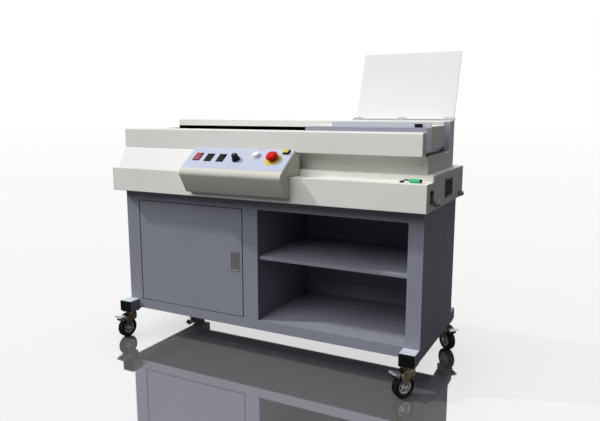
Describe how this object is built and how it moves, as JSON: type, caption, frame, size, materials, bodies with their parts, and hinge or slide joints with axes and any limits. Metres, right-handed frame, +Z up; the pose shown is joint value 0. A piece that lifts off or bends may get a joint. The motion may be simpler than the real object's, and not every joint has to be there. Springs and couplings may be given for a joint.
{
  "type": "perfect binding machine",
  "caption": "Floor-standing hot-melt book binder: clamp carriage over milling and glue tools, sloped control console, support board and a castored steel cabinet with door and shelf.",
  "frame": {"origin": "bottom centre of the machine's bounding box, on the ground under the castors", "axes": "+X to the operator's right along the machine, +Y away from the operator, +Z up"},
  "size_m": [1.219, 0.5586, 1.0616],
  "materials": {
    "cabinet_grey": "satin blue-grey powder coat on folded sheet steel",
    "machine_cream": "satin cream powder coat on folded sheet steel",
    "machine_white": "white powder coat on sheet steel",
    "panel_blue": "pale blue-grey film on an aluminium control panel",
    "bare_aluminium": "anodised, fine brushed lines",
    "polished_steel": "ground and polished shaft steel",
    "tool_steel": "machined tool steel",
    "nickel": "nickel plated",
    "black_plastic": "black moulded plastic",
    "white_plastic": "white moulded plastic",
    "stop_red": "glossy red moulded plastic",
    "lit_red": "clear red rocker",
    "green_plastic": "green moulded grip",
    "hinge_grey": "grey piano hinge",
    "zinc_yellow": "yellow zinc plated pressed steel",
    "pedal_steel": "bright zinc plated pressed steel",
    "castor_rubber": "black rubber tyre on a grey moulded hub"
  },
  "bodies": {
    "machine": {"castor_beams": "cabinet_grey", "cabinet_floor": "cabinet_grey", "front_frame": "cabinet_grey", "side_panels": "cabinet_grey", "back_panel": "cabinet_grey", "centre_partition": "cabinet_grey", "bay_shelf": "cabinet_grey", "cabinet_top": "cabinet_grey", "magnetic_catch": "black_plastic", "tray_shell": "machine_cream", "tray_end_plates": "machine_cream", "middle_housing": "machine_cream", "front_cover": "machine_cream", "rear_hood": "machine_cream", "sloped_cover": "machine_white", "console_shell": "machine_cream", "console_plate": "panel_blue", "control_fittings": "black_plastic", "mains_switch_housing": "black_plastic", "vent_grille": "black_plastic", "guide_rods": "polished_steel", "glue_tank": "bare_aluminium", "drive_motors": "black_plastic", "board_hinge": "hinge_grey"},
    "door": {"door_panel": "cabinet_grey"},
    "door_pull": {"door_pull_paddle": "nickel"},
    "board": {"support_board": "machine_white"},
    "carriage": {"carriage_frame": "bare_aluminium", "front_jaw": "bare_aluminium"},
    "moving_jaw": {"jaw_block": "machine_cream", "jaw_plate": "bare_aluminium"},
    "clamp_screw": {"clamp_screw": "polished_steel"},
    "carriage_screw": {"carriage_screw": "polished_steel"},
    "jaw_knob": {"jaw_knob": "black_plastic"},
    "cutter": {"milling_cutter": "tool_steel"},
    "roller": {"glue_roller": "bare_aluminium"},
    "nip_front": {"nip_plate_front": "tool_steel"},
    "nip_rear": {"nip_plate_rear": "tool_steel"},
    "rocker_red": {"rocker_red": "lit_red"},
    "rocker_left": {"rocker_black_left": "black_plastic"},
    "rocker_right": {"rocker_black_right": "black_plastic"},
    "mains_rocker": {"mains_rocker": "black_plastic"},
    "selector": {"selector_knob": "black_plastic"},
    "push_button": {"push_button": "white_plastic"},
    "emergency_stop": {"emergency_stop": "stop_red"},
    "side_knob_front": {"side_knob_front": "nickel"},
    "side_knob_rear": {"side_knob_rear": "nickel"},
    "side_lever": {"side_lever": "green_plastic"},
    "castor_fl": {"castor_fork_fl": "zinc_yellow"},
    "castor_fl_wheel": {"castor_wheel_fl": "castor_rubber"},
    "castor_fl_pedal": {"castor_pedal_fl": "pedal_steel"},
    "castor_fr": {"castor_fork_fr": "zinc_yellow"},
    "castor_fr_wheel": {"castor_wheel_fr": "castor_rubber"},
    "castor_fr_pedal": {"castor_pedal_fr": "pedal_steel"},
    "castor_rl": {"castor_fork_rl": "zinc_yellow"},
    "castor_rl_wheel": {"castor_wheel_rl": "castor_rubber"},
    "castor_rl_pedal": {"castor_pedal_rl": "pedal_steel"},
    "castor_rr": {"castor_fork_rr": "zinc_yellow"},
    "castor_rr_wheel": {"castor_wheel_rr": "castor_rubber"},
    "castor_rr_pedal": {"castor_pedal_rr": "pedal_steel"}
  },
  "joints": [
    {"name": "door_hinge", "type": "hinge", "parent": "machine", "child": "door", "pos_m": [-0.50996, -0.16772, 0.3365], "axis": [0, 0, -1], "range_deg": [0, 105]},
    {"name": "door_pull_hinge", "type": "hinge", "parent": "door", "child": "door_pull", "pos_m": [-0.09046, -0.16972, 0.363], "axis": [-1, 0, 0], "range_deg": [0, 35]},
    {"name": "board_fold", "type": "hinge", "parent": "machine", "child": "board", "pos_m": [0.37804, 0.19928, 0.831], "axis": [1, 0, 0], "range_deg": [0, 108]},
    {"name": "carriage_travel", "type": "slide", "parent": "machine", "child": "carriage", "axis": [-1, 0, 0], "range_m": [0, 0.56]},
    {"name": "jaw_travel", "type": "slide", "parent": "carriage", "child": "moving_jaw", "axis": [0, 1, 0], "range_m": [0, 0.06]},
    {"name": "clamp_screw_turn", "type": "hinge", "parent": "carriage", "child": "clamp_screw", "pos_m": [0.36354, 0.07729, 0.78], "axis": [0, 1, 0], "range_deg": [-10, 2170]},
    {"name": "carriage_screw_turn", "type": "hinge", "parent": "machine", "child": "carriage_screw", "pos_m": [-0.00196, 0.16928, 0.752], "axis": [1, 0, 0], "range_deg": [-10, 10090]},
    {"name": "jaw_knob_turn", "type": "hinge", "parent": "carriage", "child": "jaw_knob", "pos_m": [0.52954, -0.11571, 0.809], "axis": [0, 0, 1], "range_deg": [0, 360]},
    {"name": "cutter_spin", "type": "hinge", "parent": "machine", "child": "cutter", "pos_m": [0.12304, -0.07772, 0.7255], "axis": [0, 0, 1], "continuous": true},
    {"name": "roller_spin", "type": "hinge", "parent": "machine", "child": "roller", "pos_m": [0.03304, -0.07672, 0.7055], "axis": [0, 1, 0], "continuous": true},
    {"name": "nip_front_travel", "type": "slide", "parent": "machine", "child": "nip_front", "axis": [0, 1, 0], "range_m": [0, 0.008]},
    {"name": "nip_rear_travel", "type": "slide", "parent": "machine", "child": "nip_rear", "axis": [0, 1, 0], "range_m": [-0.008, 0]},
    {"name": "rocker_red_tilt", "type": "hinge", "parent": "machine", "child": "rocker_red", "pos_m": [-0.19916, -0.22001, 0.7027], "axis": [-1, 0, 0], "range_deg": [0, 14]},
    {"name": "rocker_left_tilt", "type": "hinge", "parent": "machine", "child": "rocker_left", "pos_m": [-0.15226, -0.22163, 0.70153], "axis": [-1, 0, 0], "range_deg": [0, 14]},
    {"name": "rocker_right_tilt", "type": "hinge", "parent": "machine", "child": "rocker_right", "pos_m": [-0.10376, -0.22163, 0.70153], "axis": [-1, 0, 0], "range_deg": [0, 14]},
    {"name": "mains_rocker_tilt", "type": "hinge", "parent": "machine", "child": "mains_rocker", "pos_m": [0.58754, -0.16872, 0.611], "axis": [0, -1, 0], "range_deg": [0, 14]},
    {"name": "selector_turn", "type": "hinge", "parent": "machine", "child": "selector", "pos_m": [-0.04276, -0.22715, 0.70066], "axis": [0, -0.5821, 0.8131], "range_deg": [-135, 135]},
    {"name": "push_button_press", "type": "slide", "parent": "machine", "child": "push_button", "axis": [0, 0.5821, -0.8131], "range_m": [0, 0.004], "stiffness_N_per_m": 300},
    {"name": "emergency_stop_press", "type": "slide", "parent": "machine", "child": "emergency_stop", "axis": [0, 0.5821, -0.8131], "range_m": [0, 0.006], "stiffness_N_per_m": 500},
    {"name": "side_knob_front_turn", "type": "hinge", "parent": "machine", "child": "side_knob_front", "pos_m": [0.59004, -0.14272, 0.589], "axis": [1, 0, 0], "range_deg": [0, 90]},
    {"name": "side_knob_rear_turn", "type": "hinge", "parent": "machine", "child": "side_knob_rear", "pos_m": [0.59004, 0.17128, 0.583], "axis": [1, 0, 0], "range_deg": [0, 90]},
    {"name": "side_lever_swing", "type": "hinge", "parent": "machine", "child": "side_lever", "pos_m": [0.50504, -0.18771, 0.652], "axis": [0, 0, -1], "range_deg": [0, 60]},
    {"name": "castor_fl_swivel", "type": "hinge", "parent": "machine", "child": "castor_fl", "pos_m": [-0.56296, -0.19371, 0.101], "axis": [0, 0, 1], "continuous": true},
    {"name": "castor_fl_roll", "type": "hinge", "parent": "castor_fl", "child": "castor_fl_wheel", "pos_m": [-0.56574, -0.21352, 0.0365], "axis": [0.9903, -0.1392, 0], "continuous": true},
    {"name": "castor_fl_brake", "type": "hinge", "parent": "castor_fl", "child": "castor_fl_pedal", "pos_m": [-0.56769, -0.22738, 0.078], "axis": [0.9903, -0.1392, 0], "range_deg": [0, 10]},
    {"name": "castor_fr_swivel", "type": "hinge", "parent": "machine", "child": "castor_fr", "pos_m": [0.54604, -0.19371, 0.101], "axis": [0, 0, 1], "continuous": true},
    {"name": "castor_fr_roll", "type": "hinge", "parent": "castor_fr", "child": "castor_fr_wheel", "pos_m": [0.53457, -0.2101, 0.0365], "axis": [0.8192, -0.5736, 0], "continuous": true},
    {"name": "castor_fr_brake", "type": "hinge", "parent": "castor_fr", "child": "castor_fr_pedal", "pos_m": [0.52654, -0.22157, 0.078], "axis": [0.8192, -0.5736, 0], "range_deg": [0, 10]},
    {"name": "castor_rl_swivel", "type": "hinge", "parent": "machine", "child": "castor_rl", "pos_m": [-0.56296, 0.23928, 0.101], "axis": [0, 0, 1], "continuous": true},
    {"name": "castor_rl_roll", "type": "hinge", "parent": "castor_rl", "child": "castor_rl_wheel", "pos_m": [-0.57296, 0.22196, 0.0365], "axis": [0.866, -0.5, 0], "continuous": true},
    {"name": "castor_rl_brake", "type": "hinge", "parent": "castor_rl", "child": "castor_rl_pedal", "pos_m": [-0.57996, 0.20984, 0.078], "axis": [0.866, -0.5, 0], "range_deg": [0, 10]},
    {"name": "castor_rr_swivel", "type": "hinge", "parent": "machine", "child": "castor_rr", "pos_m": [0.54604, 0.23928, 0.101], "axis": [0, 0, 1], "continuous": true},
    {"name": "castor_rr_roll", "type": "hinge", "parent": "castor_rr", "child": "castor_rr_wheel", "pos_m": [0.56114, 0.22616, 0.0365], "axis": [0.6561, 0.7547, 0], "continuous": true},
    {"name": "castor_rr_brake", "type": "hinge", "parent": "castor_rr", "child": "castor_rr_pedal", "pos_m": [0.5717, 0.21698, 0.078], "axis": [0.6561, 0.7547, 0], "range_deg": [0, 10]}
  ],
  "couplings": [
    {"joint": "clamp_screw_turn", "follows": "jaw_travel", "rad_per_m": 628.32},
    {"joint": "carriage_screw_turn", "follows": "carriage_travel", "rad_per_m": 314.16},
    {"joint": "nip_rear_travel", "follows": "nip_front_travel", "ratio": -1}
  ]
}
